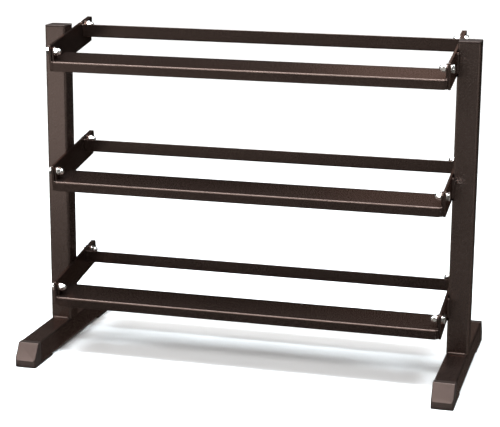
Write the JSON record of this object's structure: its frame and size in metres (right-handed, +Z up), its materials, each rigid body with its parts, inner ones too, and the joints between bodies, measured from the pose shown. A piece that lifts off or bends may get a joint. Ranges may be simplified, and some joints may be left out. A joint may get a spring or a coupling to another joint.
{
  "type": "dumbbell rack",
  "caption": "Free-standing tiered dumbbell rack: square-tube end frames joined by tilted bent-steel rails that bolt to welded side brackets.",
  "frame": {"origin": "on the floor, below the middle of the rack", "axes": "+X across the rack to the right of a person who faces its front, +Y to its rear, +Z up"},
  "size_m": [1.038, 0.529, 0.7919],
  "materials": {
    "frame_coat": "very dark brown powder coat with a fine orange-peel, semi-gloss",
    "weld_coat": "the same powder coat over rippled weld beads",
    "cap_plastic": "moulded plastic with a fine grain",
    "plated": "bright nickel-chrome plating"
  },
  "bodies": {
    "root": {"left_upright_tube": "frame_coat", "left_upright_cap": "cap_plastic", "left_base_tube": "frame_coat", "left_base_welds": "weld_coat", "left_bracket_welds": "weld_coat", "left_front_foot_cap": "cap_plastic", "left_rear_foot_cap": "cap_plastic", "right_upright_tube": "frame_coat", "right_upright_cap": "cap_plastic", "right_base_tube": "frame_coat", "right_base_welds": "weld_coat", "right_bracket_welds": "weld_coat", "right_front_foot_cap": "cap_plastic", "right_rear_foot_cap": "cap_plastic", "bottom_left_bracket": "frame_coat", "bottom_right_bracket": "frame_coat", "bottom_front_rail": "frame_coat", "bottom_front_end_plates": "frame_coat", "bottom_front_plate_welds": "weld_coat", "bottom_rear_rail": "frame_coat", "bottom_rear_end_plates": "frame_coat", "bottom_rear_plate_welds": "weld_coat", "bottom_bolts": "plated", "bottom_washers": "plated", "bottom_acorn_nuts": "plated", "middle_left_bracket": "frame_coat", "middle_right_bracket": "frame_coat", "middle_front_rail": "frame_coat", "middle_front_end_plates": "frame_coat", "middle_front_plate_welds": "weld_coat", "middle_rear_rail": "frame_coat", "middle_rear_end_plates": "frame_coat", "middle_rear_plate_welds": "weld_coat", "middle_bolts": "plated", "middle_washers": "plated", "middle_acorn_nuts": "plated", "top_left_bracket": "frame_coat", "top_right_bracket": "frame_coat", "top_front_rail": "frame_coat", "top_front_end_plates": "frame_coat", "top_front_plate_welds": "weld_coat", "top_rear_rail": "frame_coat", "top_rear_end_plates": "frame_coat", "top_rear_plate_welds": "weld_coat", "top_bolts": "plated", "top_washers": "plated", "top_acorn_nuts": "plated"}
  },
  "joints": []
}
